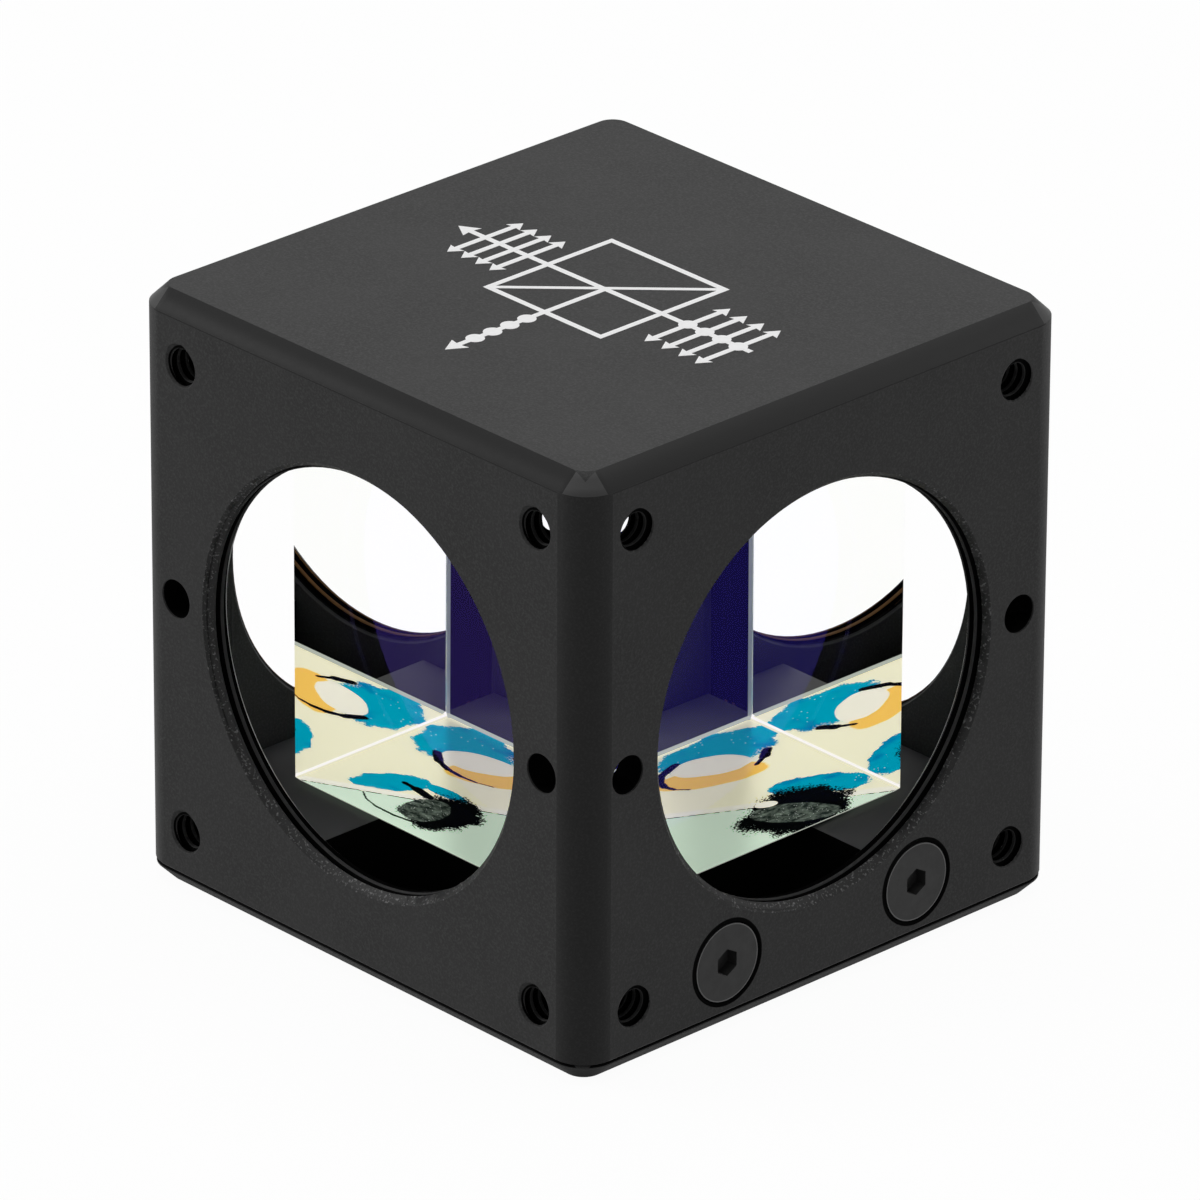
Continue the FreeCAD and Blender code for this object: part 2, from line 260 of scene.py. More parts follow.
def edges_with_painted_light(skin, colour, grain, x, y, z):
    """The housing's colour with painted shade on its top bevel, lighter above the ±Y faces, a painted
    highlight on the bevel's corners, a painted shade line below the bevel, a painted highlight along
    its foot and painted shade on the front corner."""
    wide = skin.size(x)
    long = skin.size(y)
    side = skin.either(wide, long)
    least = skin.math("MINIMUM", wide, long)
    hair = 0.06
    start, end = TOP - TOP_BEVEL + 0.01, TOP - 0.01
    top_bevel = skin.both(skin.between(side, start, end), skin.between(z, start, end))
    # Painted shade on the top bevel: lighter above the ±Y faces than above the ±X faces
    on_left_or_far = skin.above(long, wide)
    colour = skin.blend(top_bevel, colour, skin.blend(on_left_or_far, grey(37), grey(24)))
    # Painted highlight on the top bevel where it meets the rounded corners
    corner = skin.above(least, TOP - CORNER_RADIUS + 0.35)
    colour = skin.blend(skin.both(top_bevel, corner), colour, grey(68))
    outer = skin.above(side, TOP - hair)
    # A painted shade line just below the top bevel
    line_top = TOP - TOP_BEVEL
    colour = skin.blend(skin.both(outer, skin.between(z, line_top - 0.09, line_top)), colour, grey(24))
    # A painted highlight along the foot
    colour = skin.blend(skin.both(outer, skin.below(z, FOOT + 0.13)), colour, grey(100))
    # Painted shade on the front corner's rounding, with its grain
    front_corner_shade = skin.below(skin.minus(y, x), CORNER_RADIUS - 2 * TOP)
    front_corner_shade = skin.both(front_corner_shade, skin.below(z, line_top))
    return skin.blend(front_corner_shade, colour, skin.blend(skin.rise(grain, 0.45, 0.75), grey(33), grey(44)))


def port_skin(name):
    """The housing's skin: worn bevels, painted shade in its hollows, and painted highlights on its
    thread crests and along the ports' inner rims.
    """
    skin = Surface(name)
    x, y, z = skin.parts()
    wide = skin.size(x)
    long = skin.size(y)
    side = skin.either(wide, long)
    grain = skin.noise(7.0, 3.0, 0.6)
    fleck = skin.noise(3.2, 4.0, 0.7)
    speckle = skin.noise(5.5, 2.0, 0.6)
    colour = edges_with_painted_light(skin, anodised(skin, grain, 42, 47), grain, x, y, z)
    # Painted shade in the screw seats, with a painted shadow that reaches up and aside past each seat
    seat = skin.below(screw_radius(skin, y, z), SEAT_RADIUS + 0.04)
    seat_shadow = skin.below(screw_radius(skin, y, z, 0.1), SEAT_RADIUS + 0.05)
    on_screw_side = skin.above(x, 15)
    hollow_shade = skin.both(skin.either(seat, seat_shadow), on_screw_side)
    # Painted shade in the cavity; the port walls and the holes are added to it below
    cavity = skin.both(skin.below(side, WALL_INSIDE - 0.04), skin.below(z, CAVITY_TOP + 0.1))
    hollow_shade = skin.either(hollow_shade, cavity)
    bevel = 0
    edge = 0
    crest = 0
    for depth, along, far in ((wide, y, long), (long, x, wide)):
        radius = skin.distance(along, z)
        mouth = skin.both(skin.above(depth, TOP - PORT_MOUTH - 0.02),
                          skin.below(radius, PORT_RADIUS + PORT_MOUTH + 0.025))
        bevel = skin.either(mouth, bevel)
        # Painted highlight along each port's inner rim
        inner = skin.both(skin.between(depth, WALL_INSIDE - 0.08, WALL_INSIDE + 0.14),
                          skin.below(radius, PORT_ROOT + 0.03))
        edge = skin.either(inner, edge)
        wall = skin.both(skin.between(depth, WALL_INSIDE + 0.07, TOP - PORT_MOUTH - 0.02),
                         skin.below(radius, PORT_ROOT + 0.05))
        hollow_shade = skin.either(hollow_shade, wall)
        crest = skin.either(skin.both(wall, skin.below(radius, PORT_RADIUS + 0.05)), crest)
        tapped = skin.distance(skin.minus(far, ROD_HOLE_PLACE), skin.minus(skin.size(z), ROD_HOLE_PLACE))
        plain = skin.distance(skin.minus(far, SIDE_HOLE_PLACE), z)
        holes = skin.either(skin.below(tapped, ROD_HOLE_ROOT + 0.04),
                            skin.below(plain, SIDE_HOLE_RADIUS + 0.05))
        hollow_shade = skin.either(hollow_shade, skin.both(holes, skin.below(depth, TOP - 0.12)))
        # Painted highlight on the tapped holes' thread crests
        hole_crest_highlight = skin.both(skin.below(tapped, ROD_HOLE_RADIUS + 0.04),
                               skin.between(depth, WALL_INSIDE - 0.1, TOP - 0.12))
        crest = skin.either(crest, hole_crest_highlight)
    across = skin.minus(y, x)
    behind = skin.above(across, 0)
    lit = skin.both(skin.rise(across, -13, -8), skin.below(across, 0))
    colour = skin.blend(bevel, colour, skin.blend(skin.rise(speckle, 0.56, 0.74), grey(46), grey(125)))
    # Painted shade: the hollows are near black
    colour = skin.blend(hollow_shade, colour, grey(7))
    # Painted highlights on the thread crests, brown on the far side for the colour of the light that reaches
    # them through the glass
    colour = skin.blend(crest, colour, skin.blend(behind, grey(66), tint(96, 70, 44)))
    # The inner rims' painted highlight is brightest where the near ports' rims run toward the far side
    colour = skin.blend(edge, colour, skin.blend(lit, grey(50), grey(235)))
    shine = 0.14
    shader = skin.add("BsdfPrincipled", {
        "Base Color": colour, "Roughness": skin.plus(skin.times(fleck, 0.12), 0.46),
        "Normal": skin.bump(grain, 0.35, 0.00002), "IOR": 1.5, "Specular IOR Level": shine})
    # The painted-shade hollows also lose most of their reflection
    skin.link(skin.minus(shine, skin.times(hollow_shade, 0.135)), shader.inputs["Specular IOR Level"])
    return skin.show(shader.outputs[0])


def plate_skin():
    """The base plate's skin, with painted shade in the gap under the body and inside the cavity, and
    painted light on the block's top.
    """
    skin = Surface("plate_skin")
    x, y, z = skin.parts()
    side = skin.either(skin.size(x), skin.size(y))
    grain = skin.noise(7.0, 3.0, 0.6)
    seam_shade = skin.both(skin.above(side, 18.6), skin.above(z, FOOT - 0.13))
    low = skin.below(z, PLATE_BEVEL_TOP - 0.01)
    inside = skin.below(side, WALL_INSIDE - 0.1)
    lit_block_top = skin.both(inside, skin.above(z, BLOCK_TOP - 0.03))
    colour = skin.blend(low, anodised(skin, grain, 44, 50), grey(44))
    # Painted shade on the plate inside the cavity
    colour = skin.blend(inside, colour, grey(16))
    # Painted light on the block's top inside the cavity
    colour = skin.blend(lit_block_top, colour, grey(92))
    # Painted shade in the gap under the body
    colour = skin.blend(seam_shade, colour, grey(10))
    dull = skin.either(skin.either(low, inside), seam_shade)
    shine = 0.15
    shader = skin.add("BsdfPrincipled", {
        "Base Color": colour, "Roughness": 0.5, "Normal": skin.bump(grain, 0.35, 0.00002),
        "IOR": 1.5, "Specular IOR Level": shine})
    skin.link(skin.minus(shine, skin.times(dull, 0.14)), shader.inputs["Specular IOR Level"])
    return skin.show(shader.outputs[0])


def oxide_steel():
    steel = Surface("black_oxide_steel")
    grain = steel.noise(5.0, 3.0, 0.6)
    wear = steel.noise(1.1, 3.0, 0.6)
    colour = steel.blend(steel.rise(wear, 0.35, 0.7), grey(43), grey(52))
    x, y, z = steel.parts()
    # Painted highlight on the rim of each screw head
    rim = steel.both(steel.above(screw_radius(steel, y, z), HEAD_RADIUS - 0.07),
                     steel.above(x, HEAD_FACE - 0.03))
    colour = steel.blend(rim, colour, grey(105))
    roughness = steel.plus(steel.times(grain, 0.2), 0.32)
    shader = steel.add("BsdfPrincipled", {
        "Base Color": colour, "Roughness": roughness, "Metallic": 0.15, "Specular IOR Level": 0.2,
        "Normal": steel.bump(grain, 0.25, 0.00002)})
    return steel.show(shader.outputs[0])


def print_ink():
    ink = Surface("white_print_ink")
    edge = ink.noise(3.0, 3.0, 0.6)
    colour = ink.blend(ink.rise(edge, 0.3, 0.7), grey(248), grey(254))
    shader = ink.add("BsdfPrincipled", {
        "Base Color": colour, "Roughness": 0.6, "Normal": ink.bump(edge, 0.15, 0.00001)})
    return ink.show(shader.outputs[0])


def cured_resin():
    resin = Surface("cured_resin")
    bubbles = resin.noise(1.6, 3.0, 0.6)
    colour = resin.blend(resin.rise(bubbles, 0.4, 0.65), tint(96, 104, 92), tint(170, 172, 150))
    shader = resin.add("BsdfPrincipled", {
        "Base Color": colour, "Roughness": 0.25, "Normal": resin.bump(bubbles, 0.4, 0.0001),
        "Transmission Weight": 0.35, "IOR": 1.5})
    return resin.show(shader.outputs[0])


def total_share(glass):
    """1 where the glass throws all light back, and 0 where nearly all of it passes."""
    return glass.rise(glass.add("Fresnel", {"IOR": GLASS_INDEX}).outputs[0], 0.5, 0.98)


def polished_glass():
    """Clear glass whose coated faces throw back only a weak violet."""
    glass = Surface("polished_glass")
    haze = glass.noise(0.4)
    colour = glass.blend(glass.rise(haze, 0.3, 0.7), (0.995, 1, 0.995, 1), (1, 1, 1, 1))
    passed = glass.add("BsdfRefraction", {"Color": colour, "Roughness": 0.0, "IOR": GLASS_INDEX})
    mirrored = glass.add("BsdfGlossy", {"Color": (1, 1, 1, 1), "Roughness": 0.0})
    within = glass.add("MixShader", {"Fac": total_share(glass), 1: passed.outputs[0],
                                     2: mirrored.outputs[0]})
    on_side = glass.above(glass.size(glass.parts()[0]), HALF_GLASS - 0.05)
    tinge = glass.blend(on_side, (0.0125, 0.0072, 0.0550, 1), (0.0066, 0.0047, 0.0520, 1))
    bounced = glass.add("BsdfGlossy", {"Color": tinge, "Roughness": 0.0})
    coated = glass.add("AddShader", {0: passed.outputs[0], 1: bounced.outputs[0]})
    side = glass.add("NewGeometry").outputs["Backfacing"]
    mix = glass.add("MixShader", {"Fac": side, 1: coated.outputs[0], 2: within.outputs[0]})
    return glass.show(mix.outputs[0])


def bevel_glass():
    """The narrow bevels, less finely polished than the faces and ground along the bottom, where they
    glow with painted light, palest where the glass throws all light back.
    """
    glass = Surface("bevel_glass")
    grain = glass.noise(9.0, 3.0, 0.7)
    z = glass.parts()[2]
    low = glass.below(z, -HALF_GLASS + GLASS_BEVEL + 0.02)
    upper = glass.above(z, -HALF_GLASS + GLASS_BEVEL * 0.45)
    colour = glass.blend(grain, (0.9, 0.96, 0.96, 1), (1, 1, 0.98, 1))
    clear = glass.add("BsdfGlass", {
        "Color": colour, "Roughness": 0.35, "IOR": GLASS_INDEX, "Normal": glass.bump(grain, 0.1, 0.00001)})
    pale = glass.add("BsdfDiffuse", {"Color": (0.82, 0.90, 0.95, 1)})
    mix = glass.add("MixShader", {"Fac": 0.5, 1: clear.outputs[0], 2: pale.outputs[0]})
    # Painted glow along the bottom bevels, paler and brighter where the glass throws all light back
    total = total_share(glass)
    bright = glass.both(upper, total)
    ground = glass.blend(total, tint(176, 182, 172), tint(236, 232, 206))
    ground = glass.blend(bright, ground, tint(254, 251, 248))
    lit = glass.add("Emission", {"Color": ground, "Strength": 0.95})
    edge = glass.add("MixShader", {"Fac": low, 1: mix.outputs[0], 2: lit.outputs[0]})
    return glass.show(edge.outputs[0])


# What the adhesive leaves on the glass's underside, painted in this order, in millimetres:
# the kind, an oval's centre, its half sizes and its turn in degrees
PATCHES = [
    ("teal", (-8.75, 8.35), (3.6, 4.6), 0),
    ("amber", (-4.65, 5.6), (4.3, 2.0), 53),
    ("bare", (-6.7, 6.5), (3.1, 1.9), 42),
    ("teal", (-8.5, -4.55), (3.6, 1.5), 63),
    ("teal", (-5.0, -1.85), (1.8, 0.9), 0),
    ("black", (-3.4, -5.7), (2.5, 4.4), 0),
    ("froth", (-4.3, -6.65), (1.5, 3.0), 0),
    ("teal", (5.2, 9.6), (4.0, 1.9), 37),
    ("black", (8.2, 6.2), (4.7, 4.1), 0),
    ("froth", (8.5, 5.9), (3.8, 1.7), 30),
    ("bare", (4.8, 5.4), (0.9, 0.6), 40),
    ("black", (8.6, -8.6), (2.6, 2.6), 0),
]
# Black rims, each a curved stroke: its points, and half its width at the start and at the end
RIMS = [
    ([(-3.85, 3.45), (-5.0, 2.8), (-6.2, 2.6), (-7.4, 2.8), (-8.55, 3.5), (-9.5, 5.0)], 0.08, 0.42),
    ([(-3.45, 8.65), (-4.4, 9.8), (-5.5, 10.5)], 0.22, 0.42),
    ([(-8.6, -8.75), (-7.8, -9.75), (-6.7, -10.3), (-5.1, -10.35), (-3.5, -9.9)], 0.10, 0.18),
    ([(-7.7, -3.5), (-6.6, -3.6), (-5.5, -4.0)], 0.30, 0.55),
]


def oval(face, x, y, centre, halves, turn, warp, edge):
    """1 inside a turned oval whose outline is pushed about by warp, and 0 outside."""
    angle = math.radians(turn)
    right = face.minus(x, centre[0])
    up = face.minus(y, centre[1])
    along = face.plus(face.times(right, math.cos(angle) / halves[0]),
                      face.times(up, math.sin(angle) / halves[0]))
    across = face.minus(face.times(up, math.cos(angle) / halves[1]),
                        face.times(right, math.sin(angle) / halves[1]))
    return face.rise(face.plus(face.distance(along, across), warp), 1 + edge, 1 - edge)


def rim(face, x, y, start, end, half_width, warp):
    """1 near the line between two points, and 0 away from it."""
    run = (end[0] - start[0], end[1] - start[1])
    length = run[0] ** 2 + run[1] ** 2
    right = face.minus(x, start[0])
    up = face.minus(y, start[1])
    share = face.math("ADD", face.times(right, run[0] / length), face.times(up, run[1] / length), clamp=True)
    gap = face.distance(face.minus(right, face.times(share, run[0])),
                        face.minus(up, face.times(share, run[1])))
    return face.rise(face.plus(gap, warp), half_width + 0.05, half_width - 0.05)


def glued_face():
    """The glass's finely ground underside: pale where it is dry, and dark where adhesive wets it. A
    painted glow stands in for the light that the ground face scatters.
    """
    face = Surface("glued_glass_face")
    x, y, _ = face.parts()
    warp = face.times(face.minus(face.noise(0.5), 0.5), 0.7)
    specks = face.times(face.minus(face.noise(5.5, 2.0, 0.6), 0.5), 0.75)
    rough_edge = face.plus(warp, specks)
    smoother_edge = face.plus(warp, face.times(specks, 0.4))
    smooth_edge = face.times(warp, 0.3)
    rim_edge = face.times(rough_edge, 0.3)
    froth = face.blend(face.rise(face.noise(1.5, 3.0, 0.6), 0.4, 0.72), tint(30, 38, 34), tint(112, 124, 112))
    froth = face.blend(face.rise(face.cells(3.2), 0.16, 0.08), froth, tint(215, 222, 212))
    teal = face.blend(face.rise(face.noise(0.35), 0.5, 0.7), tint(0, 162, 192), tint(0, 118, 176))
    beads = face.both(face.rise(face.cells(2.4), 0.17, 0.11), face.rise(face.noise(0.6), 0.55, 0.6))
    teal = face.blend(beads, teal, tint(222, 238, 230))
    black = tint(5, 7, 8)
    looks = {"teal": (teal, smoother_edge), "amber": (tint(255, 204, 96), smooth_edge),
             "bare": (tint(250, 246, 230), smooth_edge), "black": (black, rough_edge),
             "froth": (froth, smooth_edge)}
    across = face.minus(y, x)
    colour = face.blend(face.rise(across, -0.02, 0.02), tint(222, 244, 222), tint(250, 246, 216))
    band = face.between(across, 0.12, 1.3)
    colour = face.blend(face.times(band, 0.6), colour, tint(252, 251, 248))
    cement_line = face.between(across, -0.08, 0.14)
    cement_line = face.both(cement_line, face.rise(face.noise(1.4, 3.0, 0.7), 0.42, 0.5))
    colour = face.blend(cement_line, colour, tint(48, 48, 44))
    for kind, centre, halves, turn in PATCHES:
        look, uneven = looks[kind]
        colour = face.blend(oval(face, x, y, centre, halves, turn, uneven, 0.03), colour, look)
    for points, first_width, last_width in RIMS:
        strokes = list(zip(points, points[1:]))
        for index, (start, end) in enumerate(strokes):
            share = index / (len(strokes) - 1)
            half_width = first_width + share * (last_width - first_width)
            colour = face.blend(rim(face, x, y, start, end, half_width, rim_edge), colour, black)
    dry = face.add("BsdfDiffuse", {"Color": colour})
    shine = face.add("BsdfGlossy", {"Color": colour, "Roughness": 0.3})
    # A painted glow for the light scattered within the ground face
    lit = face.add("Emission", {"Color": colour, "Strength": 0.37})
    mix = face.add("MixShader", {"Fac": 0.6, 1: shine.outputs[0], 2: dry.outputs[0]})
    glowing = face.add("AddShader", {0: mix.outputs[0], 1: lit.outputs[0]})
    return face.show(glowing.outputs[0])


def thin_coating():
    """The beamsplitter film: mostly clear, with a weak blue-violet reflection."""
    film = Surface("beamsplitter_film")
    drift = film.noise(0.12)
    reflected = film.blend(drift, (0.0012, 0.001, 0.005, 1), (0.002, 0.001, 0.006, 1))
    clear = film.add("BsdfTransparent", {"Color": (0.998, 0.998, 0.988, 1)})
    shine = film.add("BsdfGlossy", {"Color": reflected, "Roughness": 0.0})
    mix = film.add("AddShader", {0: clear.outputs[0], 1: shine.outputs[0]})
    return film.show(mix.outputs[0])


HOUSING_SKIN = port_skin("housing_skin")
PLATE_SKIN = plate_skin()
STEEL = oxide_steel()
INK = print_ink()
RESIN = cured_resin()
GLASS = polished_glass()
BEVEL = bevel_glass()
GLUED = glued_face()
FILM = thin_coating()


# Housing with its cut threads

def add_thread(shell, turn, axis_y, axis_z, crest, root, start, end, steps):
    """A helical cutter of V section about an axis that runs out of one side of the cube.

    It starts inside the bore, so it cuts the wall cleanly. Each turn has this number of steps.
    """
    inner = crest - 0.35 * (root - crest) - 0.03
    half_width = 0.47 * THREAD_PITCH
    half_root = 0.07 * THREAD_PITCH
    profile = [(inner, -half_width), (root, -half_root), (root, half_root), (inner, half_width)]
    count = int(round((end - start) / THREAD_PITCH * steps))
    rings = []
    for index in range(count + 1):
        angle = 2 * math.pi * index / steps
        along = start + THREAD_PITCH * index / steps
        ring = []
        for radius, shift in profile:
            point = Vector((along + shift, axis_y + radius * math.cos(angle),
                            axis_z + radius * math.sin(angle)))
            ring.append(shell.verts.new(turn @ point))
        rings.append(ring)
    for before, after in zip(rings, rings[1:]):
        for corner in range(4):
            following = (corner + 1) % 4
            shell.faces.new((before[corner], after[corner], after[following], before[following]))
    shell.faces.new(rings[0])
    shell.faces.new(tuple(reversed(rings[-1])))


def thread_cutters():
    """All the thread cutters of the ports and tapped holes, which run a little past their ends."""
    past = 0.7
    port_steps = 128
    hole_steps = 32
    shell = bmesh.new()
    for side in range(4):
        turn = Matrix.Rotation(side * math.pi / 2, 3, "Z")
        add_thread(shell, turn, 0, 0, PORT_RADIUS, PORT_ROOT,
                   WALL_INSIDE - past, TOP + past, port_steps)
        for across in (-ROD_HOLE_PLACE, ROD_HOLE_PLACE):
            for level in (-ROD_HOLE_PLACE, ROD_HOLE_PLACE):
                add_thread(shell, turn, across, level, ROD_HOLE_RADIUS, ROD_HOLE_ROOT,
                           ROD_HOLE_END, TOP + past, hole_steps)
    bmesh.ops.recalc_face_normals(shell, faces=shell.faces)
    return new_object("thread_cutters", shell)


def cut_housing():
    """A copy of the housing with the threads cut into its ports and tapped holes."""
    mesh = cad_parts["housing"].data.copy()
    mesh.name = "threaded_housing"
    shell = bmesh.new()
    shell.from_mesh(mesh)
    bmesh.ops.remove_doubles(shell, verts=shell.verts, dist=1e-7)
    shell.to_mesh(mesh)
    shell.free()
    piece = bpy.data.objects.new("threaded_housing", mesh)
    bpy.context.scene.collection.objects.link(piece)
    cutter = thread_cutters()
    cut = piece.modifiers.new("threads", "BOOLEAN")
    cut.operation = "DIFFERENCE"
    cut.solver = "EXACT"
    cut.object = cutter
    bpy.context.view_layer.update()
    result = bpy.data.meshes.new_from_object(piece.evaluated_get(bpy.context.evaluated_depsgraph_get()))
    piece.modifiers.clear()
    piece.data = result
    bpy.data.objects.remove(cutter)
    smooth(result, 25)
    result.materials.clear()
    result.materials.append(HOUSING_SKIN)
    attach(piece, "root")
    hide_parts("housing")


cut_housing()


# Glass

def glass_block():
    """The two cemented prisms as one clear block, because the cement has the glass's own index."""
    half = HALF_GLASS
    rim = half - GLASS_BEVEL
    plan = [
        (half, half - CORNER_BEVEL), (half, -rim), (rim, -half), (-half + CORNER_BEVEL, -half),
        (-half, -half + CORNER_BEVEL), (-half, rim), (-rim, half), (half - CORNER_BEVEL, half),
    ]
    inner = []
    for across, along in plan:
        inner.append((across * rim / half, along * rim / half))
    shell = bmesh.new()
    rings = []
    for outline, level in ((inner, -half), (plan, -rim), (plan, rim), (inner, half)):
        rings.append([shell.verts.new((across, along, level)) for across, along in outline])
    count = len(plan)
    for low, high in zip(rings, rings[1:]):
        for index in range(count):
            following = (index + 1) % count
            side = shell.faces.new((low[index], low[following], high[following], high[index]))
            flat = low is rings[1] and index % 2 == 0
            side.material_index = 0 if flat else 1
    bottom = shell.faces.new(tuple(reversed(rings[0])))
    bottom.material_index = 2
    shell.faces.new(rings[3])
    bmesh.ops.recalc_face_normals(shell, faces=shell.faces)
    piece = mesh_piece("cemented_glass", shell, GLASS)
    piece.data.materials.append(BEVEL)
    piece.data.materials.append(GLUED)
    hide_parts("front_prism", "rear_prism")


def film_slab():
    """The coated long face between the prisms, as a very thin slab that ends just inside the glass."""
    reach = HALF_GLASS - CORNER_BEVEL / 2 - 0.02
    high = HALF_GLASS - 0.01
    thin = 0.004
    shell = bmesh.new()
    corners = []
    for level in (-high, high):
        for along in (-reach, reach):
            for across in (-thin, thin):
                corners.append(shell.verts.new((along + across, along - across, level)))
    for face in ((0, 1, 3, 2), (4, 6, 7, 5), (0, 4, 5, 1), (2, 3, 7, 6), (0, 2, 6, 4), (1, 5, 7, 3)):
        shell.faces.new([corners[index] for index in face])
    bmesh.ops.recalc_face_normals(shell, faces=shell.faces)
    mesh_piece("coated_face", shell, FILM)


glass_block()
film_slab()


# Adhesive

def adhesive_drop(name, centre, radius, seed):
    """A drop squeezed flat, with an uneven outline and a rounded edge."""
    shell = bmesh.new()
    steps = 72
    unevenness = 0.16
    # How far the outline is drawn in, at levels from the block's top to the glass
    levels = [(0.55, BLOCK_TOP + 0.002), (0.0, BLOCK_TOP + 0.06), (-0.03, BLOCK_TOP + 0.13),
              (0.04, BLOCK_TOP + 0.19), (0.2, GLUE_TOP)]
    rings = []
    for inset, level in levels:
        ring = []
        for index in range(steps):
            angle = 2 * math.pi * index / steps
            wave = noise.noise(Vector((math.cos(angle) * 1.3, math.sin(angle) * 1.3, seed)))
            reach = radius * (1 + unevenness * wave) - inset * 0.6
            ring.append(shell.verts.new((centre[0] + reach * math.cos(angle),
                                         centre[1] + reach * math.sin(angle), level)))
        rings.append(ring)
    for low, high in zip(rings, rings[1:]):
        for index in range(steps):
            following = (index + 1) % steps
            shell.faces.new((low[index], low[following], high[following], high[index]))
    shell.faces.new(tuple(reversed(rings[0])))
    shell.faces.new(rings[-1])
    bmesh.ops.recalc_face_normals(shell, faces=shell.faces)
    piece = mesh_piece(name, shell, RESIN)
    smooth(piece.data)
    return piece


DROP_PLACE = 6.3
DROP_RADIUS = 3.3
SEED_STEP = 3.7
DROPS = (("front", 1, -1), ("rear", -1, 1), ("left", -1, -1), ("right", 1, 1))
for index, (where, side_x, side_y) in enumerate(DROPS):
    centre = (side_x * DROP_PLACE, side_y * DROP_PLACE)
    drop = adhesive_drop(f"adhesive_drop_{where}", centre, DROP_RADIUS, SEED_STEP * index)
    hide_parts(f"adhesive_dot_{where}")


# Other carried-over pieces

for name, skin in (("base_plate", PLATE_SKIN), ("clamp_screw_left", STEEL), ("clamp_screw_right", STEEL)):
    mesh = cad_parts[name].data
    mesh.materials.clear()
    mesh.materials.append(skin)


# The printed beam diagram

class Print:
    """Flat white marks on the top. Each is a thin closed plate, a hair higher than the last."""

    def __init__(self):
        self.shell = bmesh.new()
        self.bottom = TOP - 0.004
        self.level = TOP + 0.008
        self.hair = 0.0004

    def plate(self, outline):
        self.level += self.hair
        low = [self.shell.verts.new((x, y, self.bottom)) for x, y in outline]
        high = [self.shell.verts.new((x, y, self.level)) for x, y in outline]
        count = len(outline)
        for index in range(count):
            following = (index + 1) % count
            self.shell.faces.new((low[index], low[following], high[following], high[index]))
        self.shell.faces.new(tuple(reversed(low)))
        self.shell.faces.new(high)

    def stroke(self, start, end, width):
        start, end = Vector(start), Vector(end)
        along = (end - start).normalized()
        side = Vector((-along.y, along.x)) * width / 2
        self.plate([start - side, end - side, end + side, start + side])

    def head(self, tip, towards, length, width):
        """An arrowhead with its tip here, pointing along towards, with a notched back."""
        tip, towards = Vector(tip), Vector(towards).normalized()
        side = Vector((-towards.y, towards.x)) * width / 2
        back = tip - towards * length
        self.plate([tip, back + side, back + towards * length * 0.12, back - side])

    def dot(self, centre, radius):
        steps = 32
        self.plate([(centre[0] + radius * math.cos(2 * math.pi * index / steps),
                     centre[1] + radius * math.sin(2 * math.pi * index / steps))
                    for index in range(steps)])


def beam_diagram():
    """The cube's plan with its coated face, the beam through it and the beam that leaves to the front.

    Crossing arrows and dots on a beam show its two polarisations.
    """
    marks = Print()
    line = 0.40
    left, right = -4.66, 4.86
    low, high = -4.50, 5.30
    corners = [(left, low), (right, low), (right, high), (left, high)]
    for index in range(4):
        start = Vector(corners[index])
        end = Vector(corners[(index + 1) % 4])
        along = (end - start).normalized() * line / 2
        marks.stroke(start - along, end + along, line)
    marks.stroke(corners[0], corners[2], line * 0.85)
    beam_head = (1.2, 1.45)
    marks.stroke((12.2, 0.36), (-11.4, 0.18), line)
    marks.head((-12.25, 0.18), (-1, 0), *beam_head)
    marks.stroke((0.15, 0.22), (0.15, -11.4), line)
    marks.head((0.15, -12.25), (0, -1), *beam_head)
    dot_radius = 0.56
    for along in (-9.91, -8.56, -7.22, -5.88):
        marks.dot((0.15, along), dot_radius)
    right_head = (0.88, 1.15)
    for across in (6.99, 8.4, 9.8, 11.17):
        marks.dot((across, 0.34), dot_radius)
        marks.stroke((across + 0.04, -2.6), (across + 0.04, 3.1), line)
        marks.head((across + 0.06, 3.65), (0, 1), *right_head)
        marks.head((across + 0.02, -3.1), (0, -1), *right_head)
    left_head = (0.82, 1.15)
    for across in (-9.93, -8.73, -7.53, -6.33):
        marks.stroke((across, -2.4), (across, 2.7), line)
        marks.head((across, 3.18), (0, 1), *left_head)
        marks.head((across, -2.84), (0, -1), *left_head)
    bmesh.ops.recalc_face_normals(marks.shell, faces=marks.shell.faces)
    mesh_piece("beam_diagram", marks.shell, INK)


beam_diagram()


# Floor, world, lamps and camera

def seen_share(surface):
    """1 for what the camera, a gloss or a clear piece sees, and 0 for what lights the object."""
    path = surface.add("LightPath")
    seen = surface.either(path.outputs["Is Camera Ray"], path.outputs["Is Glossy Ray"])
    return surface.either(seen, path.outputs["Is Transmission Ray"])


def pale_floor():
    floor = Surface("pale_floor")
    seen = seen_share(floor)
    mottle = floor.noise(0.01)
    colour = floor.blend(mottle, (0.50, 0.50, 0.50, 1), (0.52, 0.52, 0.52, 1))
    colour = floor.blend(seen, colour, (0.97, 0.97, 0.97, 1))
    matt = floor.add("BsdfDiffuse", {"Color": colour})
    glow = floor.add("Emission", {"Color": (1, 1, 1, 1), "Strength": 1.0})
    share = floor.times(seen, 0.96)
    mix = floor.add("MixShader", {"Fac": share, 1: matt.outputs[0], 2: glow.outputs[0]})
    return floor.show(mix.outputs[0])


def add_floor():
    """A wide flat floor, a hair below the cube."""
    shell = bmesh.new()
    reach = 3000
    below = 0.01
    corners = [shell.verts.new((x, y, -TOP - below)) for x, y in
               ((-reach, -reach), (reach, -reach), (reach, reach), (-reach, reach))]
    shell.faces.new(corners)
    floor = new_object("floor", shell)
    floor.data.materials.append(pale_floor())


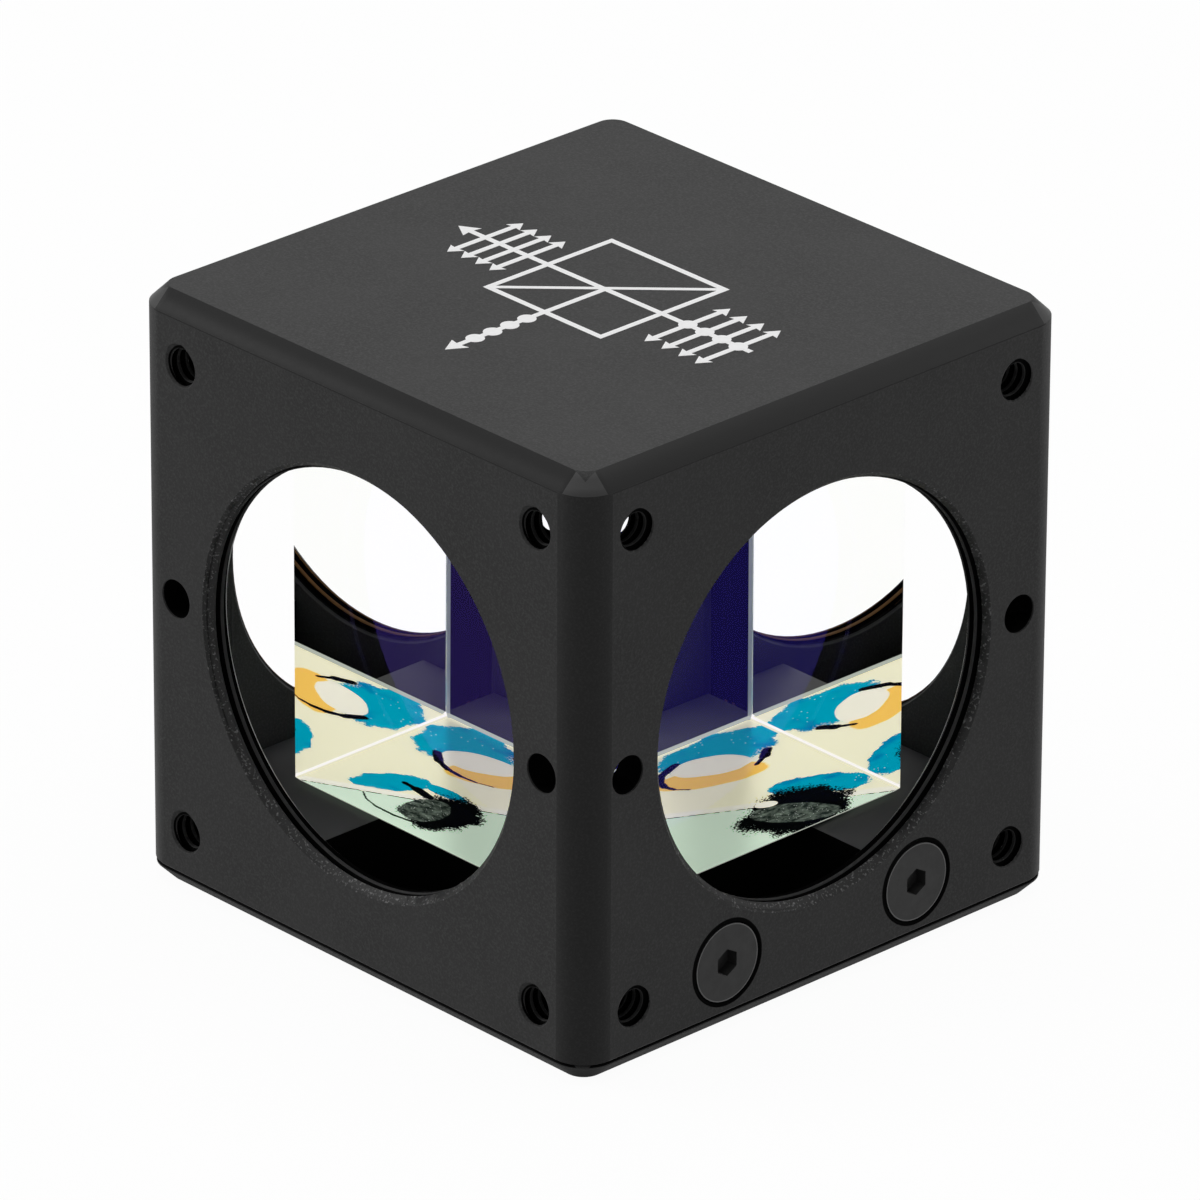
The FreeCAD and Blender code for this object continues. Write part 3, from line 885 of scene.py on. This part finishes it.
def set_world():
    """White where it is seen, and a quarter as strong where it only lights the object."""
    studio = Surface("studio", world=True)
    unseen = 0.25
    strength = studio.plus(studio.times(seen_share(studio), 1 - unseen), unseen)
    sky = studio.add("Background", {"Color": (1, 1, 1, 1), "Strength": strength})
    bpy.context.scene.world = studio.show(sky.outputs[0])


def add_lamp(name, place, size, watts):
    """A square lamp in metres that faces the cube, and that the glass doesn't show."""
    light = bpy.data.lights.new(name, "AREA")
    light.shape = "SQUARE"
    light.size = size
    light.energy = watts
    lamp = bpy.data.objects.new(name, light)
    lamp.location = Vector(place)
    lamp.visible_transmission = False
    lamp.rotation_euler = (-Vector(place)).to_track_quat("-Z", "Y").to_euler()
    bpy.context.scene.collection.objects.link(lamp)


def add_camera():
    """The photo's viewpoint, from a fit of the cube's edges, with its distances in millimetres."""
    azimuth, elevation, roll = (math.radians(angle) for angle in (46.7241, 25.4268, 0.2776))
    distance = 717.1755
    aside, lower = 0.0845, 0.6706
    focal_pixels = 12308.5953
    picture_pixels = 1200
    back = Vector((math.sin(azimuth) * math.cos(elevation),
                   -math.cos(azimuth) * math.cos(elevation), math.sin(elevation)))
    right = Vector((math.cos(azimuth), math.sin(azimuth), 0))
    up = back.cross(right)
    turned_right = math.cos(roll) * right + math.sin(roll) * up
    turned_up = -math.sin(roll) * right + math.cos(roll) * up
    place = back * distance + aside * turned_right - lower * turned_up
    camera = bpy.data.objects.new("camera", bpy.data.cameras.new("camera"))
    camera.data.sensor_width = 36
    camera.data.lens = focal_pixels * camera.data.sensor_width / picture_pixels
    camera.data.clip_start = 0.01
    camera.data.clip_end = 20
    turn = Matrix((turned_right, turned_up, back)).transposed()
    camera.matrix_world = Matrix.Translation(place * MM) @ turn.to_4x4()
    bpy.context.scene.collection.objects.link(camera)
    bpy.context.scene.camera = camera


add_floor()
set_world()
add_lamp("top_softbox", place=(0.0, 0.05, 0.6), size=0.5, watts=1.7)
add_lamp("left_softbox", place=(-0.55, -0.40, 0.3), size=0.3, watts=1.9)
add_lamp("right_softbox", place=(0.08, 0.13, 0.05), size=0.08, watts=0.032)
add_camera()
bpy.context.scene.view_settings.view_transform = "Standard"
